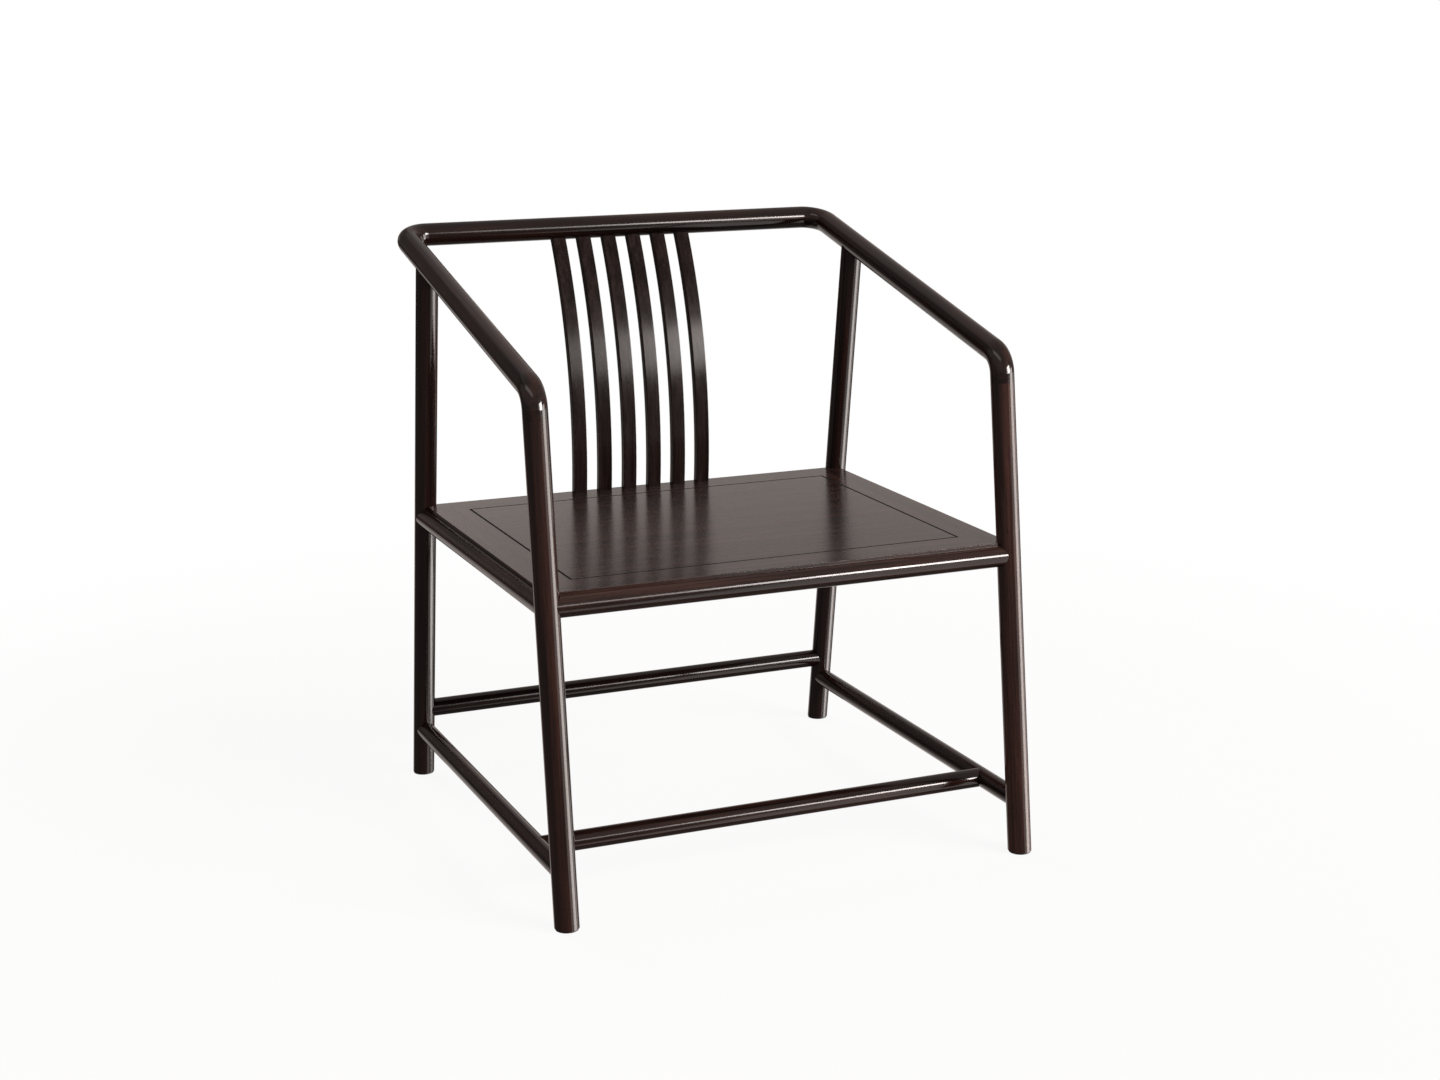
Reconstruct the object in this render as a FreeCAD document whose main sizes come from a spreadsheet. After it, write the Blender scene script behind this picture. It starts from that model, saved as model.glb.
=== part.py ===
import FreeCAD, Part
import math
import os
import Sketcher
from FreeCAD import Placement, Rotation, Vector

# Lounge chair with a round-bar frame, a sloping U of armrests and crest rail, six curved
# back slats, a framed and panelled seat and four low stretchers.
# Frame: X across the chair, front towards -Y, Z up, origin on the floor in the middle.
# Left means the side at -X, as someone facing the chair sees it.

# Driving dimensions, in millimetres
SIZES = {
    # side frames
    "leg_spacing": 600.0,
    "foot_spacing": 579.0,
    "bar_diameter": 29.5,
    "rear_leg_diameter": 28.5,
    "arm_front_height": 612.7,
    "crest_height": 732.8,
    "crest_overhang": 12.5,
    "bend_radius": 30.0,
    "stub_length": 12.0,
    "leg_tenon_diameter": 16.0,
    "leg_tenon_length": 24.0,
    "rear_tenon_rise": 4.0,
    "corner_dowel_diameter": 9.0,
    "corner_dowel_length": 36.0,
    "glide_diameter": 27.0,
    "glide_thickness": 2.0,
    # seat frame
    "seat_height": 387.0,
    "seat_front_outset": 2.1,
    "seat_rear_inset": 1.9,
    "seat_outset": 1.0,
    "seat_thickness": 30.0,
    "riser_height": 4.0,
    "rail_width": 47.0,
    "top_edge_round": 0.6,
    "groove_chamfer": 0.9,
    "mitre_tenon_width": 18.0,
    "mitre_tenon_thickness": 8.0,
    "mitre_tenon_inset": 28.0,
    "mitre_tenon_drop": 9.0,
    "mitre_tenon_cover": 9.0,
    "frame_dowel_diameter": 8.0,
    "frame_dowel_length": 36.0,
    "frame_dowel_drop": 21.0,
    # seat panel
    "panel_thickness": 12.0,
    "panel_gap": 0.3,
    "tongue_thickness": 6.0,
    "tongue_drop": 5.0,
    "tongue_reach": 7.0,
    "batten_spacing": 260.0,
    "batten_width": 26.0,
    "batten_depth": 16.0,
    "dovetail_neck": 18.0,
    "dovetail_width": 22.0,
    "dovetail_depth": 3.0,
    "batten_tenon_width": 16.0,
    "batten_tenon_thickness": 8.0,
    "batten_tenon_length": 10.0,
    # back slats
    "slat_pitch": 35.5,
    "slat_width": 18.5,
    "slat_thickness": 10.5,
    "slat_radius": 606.0,
    "slat_foot_inset": 8.6,
    "slat_crest_setback": 3.4,
    "slat_edge_round": 1.2,
    "slat_tenon_width": 12.5,
    "slat_tenon_thickness": 6.0,
    "slat_tenon_length": 14.0,
    "slat_tenon_root": 5.0,
    "slat_housing": 13.0,
    # stretchers
    "stretcher_diameter": 24.0,
    "side_stretcher_height": 65.2,
    "rear_stretcher_height": 94.7,
    "front_stretcher_setback": 98.4,
    "stretcher_tenon_diameter": 14.0,
    "cross_tenon_diameter": 11.0,
    "tenon_stop": 2.0,
    # fits
    "fit_clearance": 0.15,
    "cope_gap": 0.3,
    "mortise_relief": 1.0,
    "overrun": 5.0,
}

# Driving angle, in degrees, and the number of slats
ANGLES = {"leg_rake": 7.45}
COUNTS = {"slat_count": 6}

QUARTER_TURN = 90.0
HALF_CORNER = QUARTER_TURN / 2
MITRE_SHARE = math.sqrt(0.5)

doc = FreeCAD.newDocument("lounge_chair")
sheet = doc.addObject("Spreadsheet::Sheet", "Sizes")


def enter(line, alias, number):
    """Write one size on its own line of the sheet, under its name."""
    sheet.set(f"A{line}", alias)
    sheet.set(f"B{line}", str(number))
    sheet.setAlias(f"B{line}", alias)


DRIVING = {**SIZES, **ANGLES, **COUNTS}
for line, (alias, number) in enumerate(DRIVING.items(), start=1):
    enter(line, alias, number)
doc.recompute()


def size(alias):
    """One driving dimension, read back from the sheet."""
    return float(sheet.get(alias))


def amount(expression):
    """The value of a formula over the sheet."""
    result = sheet.evalExpression(str(expression))
    return float(getattr(result, "Value", result))


# Places worked out from the driving dimensions
rake = math.radians(size("leg_rake"))
half_spacing = size("leg_spacing") / 2
bar_radius = size("bar_diameter") / 2
front_reach = bar_radius / math.cos(rake) - size("glide_thickness") * math.tan(rake)
whole_depth = front_reach + size("foot_spacing") + size("crest_overhang") + bar_radius
front_foot_y = front_reach - whole_depth / 2
rear_foot_y = front_foot_y + size("foot_spacing")
crest_y = rear_foot_y + size("crest_overhang")


def front_leg_at(side, height):
    return Vector(side * half_spacing, front_foot_y + height * math.tan(rake), height)


def rear_leg_at(side, height):
    return Vector(side * half_spacing, rear_foot_y - height * math.tan(rake), height)


def arm_front(side):
    """Where the axes of the front leg and the armrest cross."""
    return front_leg_at(side, size("arm_front_height"))


def arm_rear(side):
    """Where the axes of the armrest and the crest rail cross."""
    return Vector(side * half_spacing, crest_y, size("crest_height"))


arm_length = (arm_rear(1) - arm_front(1)).Length
arm_slope = math.asin((size("crest_height") - size("arm_front_height")) / arm_length)
arm_direction = Vector(0, math.cos(arm_slope), math.sin(arm_slope))
front_leg_direction = Vector(0, math.sin(rake), math.cos(rake))
rear_leg_direction = Vector(0, -math.sin(rake), math.cos(rake))
front_turn = QUARTER_TURN - math.degrees(arm_slope + rake)
front_cut = size("bend_radius") * math.tan(math.radians(front_turn / 2))
leg_shoulder_drop = front_cut + size("stub_length")

seat_front_y = front_leg_at(1, size("seat_height")).y - size("seat_front_outset")
seat_rear_y = rear_leg_at(1, size("seat_height")).y - size("seat_rear_inset")
seat_middle_y = (seat_front_y + seat_rear_y) / 2
enter(len(DRIVING) + 1, "seat_depth", seat_rear_y - seat_front_y)
doc.recompute()
seat_half_width = half_spacing + size("seat_outset")
nose_radius = (size("seat_thickness") - size("riser_height")) / 2
nose_height = size("seat_height") - size("riser_height") - nose_radius


def rear_leg_top(side):
    """Where the axes of the rear leg and the armrest cross."""
    start = arm_front(side)
    foot = rear_leg_at(side, 0)
    rise = math.tan(arm_slope)
    height = (start.z + (foot.y - start.y) * rise) / (1 + rise * math.tan(rake))
    return rear_leg_at(side, height)


# Sketch and feature helpers
def new_body(name, place):
    body = doc.addObject("PartDesign::Body", name)
    body.Placement = place
    return body


def origin_plane(body, role):
    return [plane for plane in body.Origin.OriginFeatures if plane.Role == role][0]


def sketch_at(body, point, normal, across=Vector(1, 0, 0)):
    """A sketch at a point, square to a direction, with its X across; all in the chair's frame."""
    local = body.Placement.inverse()
    turn = local.Rotation
    facing = Rotation(turn.multVec(across), Vector(), turn.multVec(normal), "ZXY")
    sketch = body.newObject("Sketcher::SketchObject", body.Name + "_sketch")
    sketch.AttachmentSupport = [(origin_plane(body, "XY_Plane"), "")]
    sketch.MapMode = "FlatFace"
    sketch.AttachmentOffset = Placement(local.multVec(point), facing)
    return sketch


def profile_sketch(body, role, offset=Vector()):
    """A sketch on one of the body's own origin planes."""
    sketch = body.newObject("Sketcher::SketchObject", body.Name + "_profile")
    sketch.AttachmentSupport = [(origin_plane(body, role), "")]
    sketch.MapMode = "FlatFace"
    sketch.AttachmentOffset = Placement(offset, Rotation())
    return sketch


def bind(sketch, constraint, formula):
    """Add a constraint and tie its value to the sheet."""
    index = sketch.addConstraint(constraint)
    sketch.setExpression(f"Constraints[{index}]", formula)


def pin(sketch, piece, point, x, y):
    """Hold one point of a sketch at formulas measured from its origin."""
    if amount(x) == 0:
        sketch.addConstraint(Sketcher.Constraint("PointOnObject", piece, point, -2))
    else:
        bind(sketch, Sketcher.Constraint("DistanceX", -1, 1, piece, point, amount(x)), x)
    if amount(y) == 0:
        sketch.addConstraint(Sketcher.Constraint("PointOnObject", piece, point, -1))
    else:
        bind(sketch, Sketcher.Constraint("DistanceY", -1, 1, piece, point, amount(y)), y)


def circle(sketch, diameter, x="0", y="0"):
    centre = Vector(amount(x), amount(y), 0)
    ring = sketch.addGeometry(Part.Circle(centre, Vector(0, 0, 1), amount(diameter) / 2), False)
    pin(sketch, ring, 3, x, y)
    bind(sketch, Sketcher.Constraint("Diameter", ring, amount(diameter)), diameter)


def rectangle(sketch, width, height):
    """A rectangle centred on the sketch's origin."""
    x = amount(width) / 2
    y = amount(height) / 2
    corners = [Vector(-x, -y, 0), Vector(x, -y, 0), Vector(x, y, 0), Vector(-x, y, 0)]
    sides = closed_lines(sketch, corners)
    for side, kind in zip(sides, ("Horizontal", "Vertical", "Horizontal", "Vertical")):
        sketch.addConstraint(Sketcher.Constraint(kind, side))
    sketch.addConstraint(Sketcher.Constraint("Symmetric", sides[0], 1, sides[2], 1, -1, 1))
    bind(sketch, Sketcher.Constraint("DistanceX", sides[0], 1, sides[0], 2, 2 * x), width)
    bind(sketch, Sketcher.Constraint("DistanceY", sides[1], 1, sides[1], 2, 2 * y), height)


def closed_lines(sketch, corners):
    sides = []
    for start, end in zip(corners, corners[1:] + corners[:1]):
        sides.append(sketch.addGeometry(Part.LineSegment(start, end), False))
    for side, after in zip(sides, sides[1:] + sides[:1]):
        sketch.addConstraint(Sketcher.Constraint("Coincident", side, 2, after, 1))
    return sides


def polygon(sketch, points):
    """A closed outline whose corners are pairs of formulas."""
    corners = [Vector(amount(x), amount(y), 0) for x, y in points]
    sides = closed_lines(sketch, corners)
    for side, (x, y) in zip(sides, points):
        pin(sketch, side, 1, x, y)


def plain_polygon(sketch, corners):
    """A closed outline through worked-out places, held where it is drawn."""
    sides = closed_lines(sketch, [Vector(x, y, 0) for x, y in corners])
    for side in sides:
        sketch.addConstraint(Sketcher.Constraint("Block", side))


def pad(body, sketch, length, both_ways=False):
    feature = body.newObject("PartDesign::Pad", body.Name + "_pad")
    feature.Profile = sketch
    feature.SideType = "Symmetric" if both_ways else "One side"
    feature.setExpression("Length", str(length))
    return feature


def pocket(body, sketch, length):
    """Cut from the sketch against its normal."""
    feature = body.newObject("PartDesign::Pocket", body.Name + "_pocket")
    feature.Profile = sketch
    feature.setExpression("Length", str(length))
    return feature


def pocket_through(body, sketch):
    """Cut both ways through the whole body."""
    feature = body.newObject("PartDesign::Pocket", body.Name + "_pocket")
    feature.Profile = sketch
    feature.SideType = "Symmetric"
    feature.Type = "ThroughAll"
    return feature


def revolve(body, sketch, axis, angle, backwards):
    feature = body.newObject("PartDesign::Revolution", body.Name + "_bend")
    feature.Profile = sketch
    feature.ReferenceAxis = (sketch, [axis])
    feature.Angle = angle
    feature.Reversed = backwards
    return feature


def repeat_slats(body, feature, sketch):
    """Repeat a slat's mortise once for every slat, along the sketch's own X."""
    pattern = body.newObject("PartDesign::LinearPattern", body.Name + "_row")
    pattern.Originals = [feature]
    pattern.Direction = (sketch, ["H_Axis"])
    pattern.setExpression("Length", "Sizes.slat_pitch * (Sizes.slat_count - 1)")
    pattern.setExpression("Occurrences", "Sizes.slat_count")
    body.Tip = pattern


def edges_where(shape, test):
    names = []
    for number, edge in enumerate(shape.Edges, start=1):
        if test(edge):
            names.append(f"Edge{number}")
    return names


def soften_edges(body, test, radius):
    """Round the edges that a test picks out of the body as it stands."""
    solid = body.Tip
    names = edges_where(body.Shape, test)
    fillet = body.newObject("PartDesign::Fillet", body.Name + "_fillet")
    fillet.Base = (solid, names)
    fillet.setExpression("Radius", radius)


def round_bar(name, start, end, diameter):
    """A plain round bar between two points."""
    bar = doc.addObject("Part::Cylinder", name)
    bar.setExpression("Radius", f"({diameter}) / 2")
    bar.Height = (end - start).Length
    bar.Placement = Placement(start, Rotation(Vector(0, 0, 1), end - start))
    return bar


def cut(name, base, tools):
    """Take each tool away from a base in turn."""
    result = base
    for tool in tools:
        step = doc.addObject("Part::Cut", name)
        step.Base = result
        step.Tool = tool
        result = step
    return result


def fuse(name, base, tool):
    result = doc.addObject("Part::Fuse", name)
    result.Base = base
    result.Tool = tool
    result.Refine = True
    return result


# Envelopes that joined pieces are cut back to
SIDES = {"left": -1, "right": 1}
BAR_ENVELOPE = "Sizes.bar_diameter + 2 * Sizes.cope_gap"
REAR_ENVELOPE = "Sizes.rear_leg_diameter + 2 * Sizes.cope_gap"
STRETCHER_ENVELOPE = "Sizes.stretcher_diameter + 2 * Sizes.cope_gap"


def frame_dowel_ends(side, end):
    """The dowel that ties a leg to the seat frame lies in the frame's mitre."""
    corner_y = seat_front_y if end < 0 else seat_rear_y
    height = size("seat_height") - size("frame_dowel_drop")
    start = Vector(side * seat_half_width, corner_y, height)
    inward = Vector(-side, -end, 0).normalize()
    return start, inward


def make_envelopes():
    """Round tools for the legs, armrests, side stretchers and frame dowels."""
    tools = {}
    for name, side in SIDES.items():
        top = front_leg_at(side, size("arm_front_height"))
        tools["front", side] = round_bar(f"front_leg_space_{name}", front_leg_at(side, 0), top,
                                         BAR_ENVELOPE)
        tools["rear", side] = round_bar(f"rear_leg_space_{name}", rear_leg_at(side, 0),
                                        rear_leg_top(side), REAR_ENVELOPE)
        tools["arm", side] = round_bar(f"arm_space_{name}", arm_front(side), arm_rear(side),
                                       BAR_ENVELOPE)
        height = size("side_stretcher_height")
        tools["stretcher", side] = round_bar(f"stretcher_space_{name}",
                                             front_leg_at(side, height),
                                             rear_leg_at(side, height), STRETCHER_ENVELOPE)
        for word, end in (("front", -1), ("rear", 1)):
            start, inward = frame_dowel_ends(side, end)
            reach = size("frame_dowel_length") + size("mortise_relief")
            first = start - inward * size("mortise_relief")
            tools["dowel", side, end] = round_bar(f"dowel_space_{word}_{name}", first,
                                                  start + inward * reach,
                                                  "Sizes.frame_dowel_diameter"
                                                  " + 2 * Sizes.fit_clearance")
    return tools


def mortise_tool(name, host_axis, towards, diameter):
    """The hole in a round host for a tenon that comes in along a direction."""
    start = host_axis + towards * (size("tenon_stop") - size("mortise_relief"))
    end = host_axis + towards * size("bar_diameter")
    return round_bar(name, start, end, f"{diameter} + 2 * Sizes.fit_clearance")


# Crest rail and armrests
def bend_middle(side):
    """The middle of a rear corner bend, and the bar's direction there towards the crest."""
    radius = size("bend_radius")
    short = radius * (1 - MITRE_SHARE)
    point = arm_rear(side) - Vector(side * short, 0, 0) - arm_direction * short
    towards = (Vector(-side, 0, 0) + arm_direction).normalize()
    return point, towards


def crest_frame():
    return Placement(Vector(0, crest_y, size("crest_height")),
                     Rotation(Vector(1, 0, 0), math.degrees(arm_slope)))


def slat_middle_radius():
    return size("slat_radius") - size("slat_thickness") / 2


def slat_foot():
    """The slat's centre line where it stands on the rear seat rail."""
    return Vector(0, seat_rear_y - size("slat_foot_inset"), size("seat_height"))


def slat_centre():
    """The centre of the slats' arc, behind the chair: the arc runs from the foot to the crest."""
    foot = slat_foot()
    head = Vector(0, crest_y + size("slat_crest_setback"), size("crest_height"))
    half_chord = (head - foot).Length / 2
    backward = Vector(0, head.z - foot.z, foot.y - head.y).normalize()
    reach = math.sqrt(slat_middle_radius() ** 2 - half_chord ** 2)
    return (foot + head) / 2 + backward * reach


def slat_at(angle):
    """A point of the slat's centre line, so far round its arc above the foremost point."""
    forward = Vector(0, -math.cos(angle), math.sin(angle))
    return slat_centre() + forward * slat_middle_radius()


def slat_tip_angle():
    """How far round its arc a slat ends inside the crest rail."""
    rise = size("crest_height") - bar_radius - slat_centre().z
    return math.asin(rise / slat_middle_radius()) + size("slat_housing") / slat_middle_radius()


def slat_housing_frame():
    """The middle of a slat's housed stretch on its centre line, and its direction there."""
    angle = slat_tip_angle() - size("slat_housing") / slat_middle_radius() / 2
    return slat_at(angle), Vector(0, math.sin(angle), math.cos(angle))


def first_slat_x():
    return -size("slat_pitch") * (size("slat_count") - 1) / 2


def make_crest_rail():
    body = new_body("crest_rail", crest_frame())
    straight = "Sizes.leg_spacing - 2 * Sizes.bend_radius"
    bar = profile_sketch(body, "YZ_Plane")
    circle(bar, "Sizes.bar_diameter")
    pad(body, bar, straight, both_ways=True)
    for side in SIDES.values():
        offset = Vector(-size("bend_radius"), 0, side * amount(straight) / 2)
        bend = profile_sketch(body, "YZ_Plane", offset)
        circle(bend, "Sizes.bar_diameter", x="Sizes.bend_radius")
        revolve(body, bend, "V_Axis", HALF_CORNER, backwards=side > 0)
    for side in SIDES.values():
        point, towards = bend_middle(side)
        hole = sketch_at(body, point, -towards)
        circle(hole, "Sizes.corner_dowel_diameter + 2 * Sizes.fit_clearance")
        pocket(body, hole, "Sizes.corner_dowel_length / 2 + Sizes.mortise_relief")
    point, along = slat_housing_frame()
    top = point + along * (size("slat_housing") / 2 + size("mortise_relief"))
    slot = sketch_at(body, top + Vector(first_slat_x(), 0, 0), along)
    rectangle(slot, "Sizes.slat_width + 2 * Sizes.fit_clearance",
              "Sizes.slat_thickness + 2 * Sizes.fit_clearance")
    housing = pocket(body, slot, "Sizes.bar_diameter")
    repeat_slats(body, housing, slot)
    return body


def make_armrest(name, side):
    """A sloping bar with half a bend to the crest rail and a full bend down to the front leg."""
    place = Placement(arm_rear(side), Rotation(Vector(1, 0, 0), math.degrees(arm_slope)))
    body = new_body(name, place)
    radius = size("bend_radius")
    run = arm_length - radius - front_cut
    bar = profile_sketch(body, "XZ_Plane", Vector(0, 0, radius))
    circle(bar, "Sizes.bar_diameter")
    pad(body, bar, run)
    rear = profile_sketch(body, "XZ_Plane", Vector(-side * radius, 0, radius))
    circle(rear, "Sizes.bar_diameter", x=f"{side} * Sizes.bend_radius")
    revolve(body, rear, "V_Axis", HALF_CORNER, backwards=side < 0)
    front = profile_sketch(body, "XZ_Plane", Vector(0, -radius, radius + run))
    circle(front, "Sizes.bar_diameter", y="Sizes.bend_radius")
    revolve(body, front, "H_Axis", front_turn, backwards=False)
    stub = sketch_at(body, arm_front(side) - front_leg_direction * front_cut,
                     -front_leg_direction)
    circle(stub, "Sizes.bar_diameter")
    pad(body, stub, "Sizes.stub_length")
    socket = sketch_at(body, arm_front(side) - front_leg_direction * leg_shoulder_drop,
                       -front_leg_direction)
    circle(socket, "Sizes.leg_tenon_diameter + 2 * Sizes.fit_clearance")
    pocket(body, socket, "Sizes.leg_tenon_length + Sizes.mortise_relief")
    rise = size("rear_tenon_rise") + size("mortise_relief")
    rear_socket = sketch_at(body, rear_leg_top(side) + rear_leg_direction * rise,
                            rear_leg_direction)
    circle(rear_socket, "Sizes.leg_tenon_diameter + 2 * Sizes.fit_clearance")
    pocket(body, rear_socket, "Sizes.bar_diameter")
    point, towards = bend_middle(side)
    hole = sketch_at(body, point, towards)
    circle(hole, "Sizes.corner_dowel_diameter + 2 * Sizes.fit_clearance")
    pocket(body, hole, "Sizes.corner_dowel_length / 2 + Sizes.mortise_relief")
    return body


def make_corner_dowel(name, side):
    """A hidden dowel through the mitre between armrest and crest rail."""
    point, towards = bend_middle(side)
    half = towards * (size("corner_dowel_length") / 2)
    return round_bar(name, point - half, point + half, "Sizes.corner_dowel_diameter")


# Legs and glides
def make_ground():
    """Everything below the underside of the legs."""
    block = doc.addObject("Part::Box", "ground")
    block.setExpression("Length", "Sizes.leg_spacing + 2 * Sizes.bar_diameter")
    block.setExpression("Width", "Sizes.foot_spacing + 2 * Sizes.bar_diameter")
    block.setExpression("Height", "Sizes.bar_diameter + Sizes.glide_thickness")
    corner = Vector(-half_spacing, front_foot_y, -size("bar_diameter"))
    spread = Vector(size("bar_diameter"), size("bar_diameter"), 0)
    block.Placement = Placement(corner - spread, Rotation())
    return block


def make_front_leg(name, side, tools, ground):
    """A raking round leg from the floor to the turned-down end of the armrest."""
    low = front_leg_at(side, -size("overrun"))
    shoulder = arm_front(side) - front_leg_direction * leg_shoulder_drop
    bar = round_bar(f"{name}_bar", low, shoulder, "Sizes.bar_diameter")
    leg = cut(f"{name}_foot", bar, [ground])
    root = shoulder - front_leg_direction * size("overrun")
    tip = shoulder + front_leg_direction * size("leg_tenon_length")
    leg = fuse(f"{name}_tenoned", leg, round_bar(f"{name}_tenon", root, tip,
                                                 "Sizes.leg_tenon_diameter"))
    axis = front_leg_at(side, size("side_stretcher_height"))
    mortise = mortise_tool(f"{name}_mortise", axis, Vector(0, 1, 0),
                           "Sizes.stretcher_tenon_diameter")
    return cut(name, leg, [mortise, tools["dowel", side, -1]])


def make_rear_leg(name, side, tools, ground):
    """A round leg that rakes the other way and is coped under the armrest."""
    low = rear_leg_at(side, -size("overrun"))
    crossing = rear_leg_top(side)
    bar = round_bar(f"{name}_bar", low, crossing, "Sizes.rear_leg_diameter")
    leg = cut(f"{name}_foot", bar, [ground, tools["arm", side]])
    root = crossing - rear_leg_direction * (bar_radius + size("overrun"))
    tip = crossing + rear_leg_direction * size("rear_tenon_rise")
    leg = fuse(f"{name}_tenoned", leg, round_bar(f"{name}_tenon", root, tip,
                                                 "Sizes.leg_tenon_diameter"))
    low_mortise = mortise_tool(f"{name}_side_mortise",
                               rear_leg_at(side, size("side_stretcher_height")),
                               Vector(0, -1, 0), "Sizes.stretcher_tenon_diameter")
    high_mortise = mortise_tool(f"{name}_rear_mortise",
                                rear_leg_at(side, size("rear_stretcher_height")),
                                Vector(-side, 0, 0), "Sizes.stretcher_tenon_diameter")
    return cut(name, leg, [low_mortise, high_mortise, tools["dowel", side, 1]])


def make_glide(name, foot):
    """A thin disc nailed under a foot."""
    return round_bar(name, foot, foot + Vector(0, 0, size("glide_thickness")),
                     "Sizes.glide_diameter")


# Seat frame: four moulded rails, mitred, with a notch for each leg
RAIL_SECTION = [
    ("0", "0"),
    ("0", "-Sizes.seat_thickness"),
    ("Sizes.rail_width", "-Sizes.seat_thickness"),
    ("Sizes.rail_width", "-(Sizes.tongue_drop + Sizes.tongue_thickness + Sizes.fit_clearance)"),
    ("Sizes.rail_width - Sizes.tongue_reach - Sizes.mortise_relief",
     "-(Sizes.tongue_drop + Sizes.tongue_thickness + Sizes.fit_clearance)"),
    ("Sizes.rail_width - Sizes.tongue_reach - Sizes.mortise_relief",
     "-(Sizes.tongue_drop - Sizes.fit_clearance)"),
    ("Sizes.rail_width", "-(Sizes.tongue_drop - Sizes.fit_clearance)"),
    ("Sizes.rail_width", "-Sizes.groove_chamfer"),
    ("Sizes.rail_width - Sizes.groove_chamfer", "0"),
]
NOSE_DIAMETER = "Sizes.seat_thickness - Sizes.riser_height"


def rail_blank(name, middle, turn, half_length):
    """A moulded bar: its local -Y is outward and its top outer edge lies on local X."""
    body = new_body(name, Placement(middle, Rotation(Vector(0, 0, 1), turn)))
    length = 2 * (half_length + size("bar_diameter"))
    section = profile_sketch(body, "YZ_Plane")
    polygon(section, RAIL_SECTION)
    pad(body, section, length, both_ways=True)
    nose = profile_sketch(body, "YZ_Plane")
    circle(nose, NOSE_DIAMETER, y="-(Sizes.seat_thickness + Sizes.riser_height) / 2")
    pad(body, nose, length, both_ways=True)
    round_top_edge(body)
    return body


def round_top_edge(body):
    """Break the sharp outer edge of the rail's top face."""
    doc.recompute()

    def on_edge(edge):
        middle = body.Placement.inverse().multVec(edge.CenterOfMass)
        return max(abs(middle.y), abs(middle.z)) < size("fit_clearance")

    soften_edges(body, on_edge, "Sizes.top_edge_round")


def mitre_end(body, half_length, nose_end, end):
    """Cut one end at 45 degrees from the inner corner, and the nose square at the leg's axis."""
    inner = size("rail_width") + size("overrun")
    outer = -(nose_radius + size("overrun"))
    far = half_length + size("bar_diameter") + size("overrun")
    corners = [(half_length - inner, inner), (half_length, 0), (nose_end, 0),
               (nose_end, outer), (far, outer), (far, inner)]
    face = profile_sketch(body, "XY_Plane")
    plain_polygon(face, [(end * x, y) for x, y in corners])
    pocket_through(body, face)


def add_mitre_tenons(body, middle, inward, half_length):
    """A tenon beyond both mitres of a front or rear rail."""
    centre = middle + inward * size("mitre_tenon_inset") - Vector(0, 0, size("mitre_tenon_drop"))
    section = sketch_at(body, centre, Vector(1, 0, 0), across=Vector(0, 1, 0))
    rectangle(section, "Sizes.mitre_tenon_width", "Sizes.mitre_tenon_thickness")
    pad(body, section, 2 * (half_length - size("mitre_tenon_cover")), both_ways=True)


def add_mitre_mortises(body, inner_x, side):
    """The matching sockets in a side rail's mitres, cut from its inner face."""
    for corner_y, step in ((seat_front_y, 1), (seat_rear_y, -1)):
        centre = Vector(inner_x, corner_y + step * size("mitre_tenon_inset"),
                        size("seat_height") - size("mitre_tenon_drop"))
        face = sketch_at(body, centre, Vector(-side, 0, 0), across=Vector(0, 1, 0))
        rectangle(face, "Sizes.mitre_tenon_width + 2 * Sizes.fit_clearance",
                  "Sizes.mitre_tenon_thickness + 2 * Sizes.fit_clearance")
        pocket(body, face, "Sizes.rail_width - Sizes.mitre_tenon_cover + Sizes.mortise_relief")


def batten_middle_height():
    return size("seat_height") - size("panel_thickness") - size("batten_depth") / 2


def add_batten_mortises(body, inner_y, inward):
    """Sockets in the inner face of a front or rear rail for the two battens."""
    for side in SIDES.values():
        centre = Vector(side * size("batten_spacing") / 2, inner_y, batten_middle_height())
        face = sketch_at(body, centre, inward)
        rectangle(face, "Sizes.batten_tenon_width + 2 * Sizes.fit_clearance",
                  "Sizes.batten_tenon_thickness + 2 * Sizes.fit_clearance")
        pocket(body, face, "Sizes.batten_tenon_length + Sizes.mortise_relief")


def add_slat_mortises(body):
    """Sockets in the top of the rear rail, one for each slat."""
    first = slat_foot() + Vector(first_slat_x(), 0, 0)
    face = sketch_at(body, first, Vector(0, 0, 1))
    rectangle(face, "Sizes.slat_tenon_width + 2 * Sizes.fit_clearance",
              "Sizes.slat_tenon_thickness + 2 * Sizes.fit_clearance")
    slot = pocket(body, face, "Sizes.slat_tenon_length + Sizes.mortise_relief")
    repeat_slats(body, slot, face)


def make_cross_rail(name, end, tools):
    """The front or rear rail, which carries the tenons of the frame's mitres."""
    edge_y = seat_front_y if end < 0 else seat_rear_y
    inward = Vector(0, -end, 0)
    middle = Vector(0, edge_y, size("seat_height"))
    body = rail_blank(f"{name}_blank", middle, QUARTER_TURN * (1 + end), seat_half_width)
    for tip in SIDES.values():
        mitre_end(body, seat_half_width, half_spacing, tip)
    add_mitre_tenons(body, middle, inward, seat_half_width)
    add_batten_mortises(body, edge_y - end * size("rail_width"), inward)
    if end > 0:
        add_slat_mortises(body)
    which = "front" if end < 0 else "rear"
    spaces = [tools[which, side] for side in SIDES.values()]
    spaces += [tools["dowel", side, end] for side in SIDES.values()]
    return cut(name, body, spaces)


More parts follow.
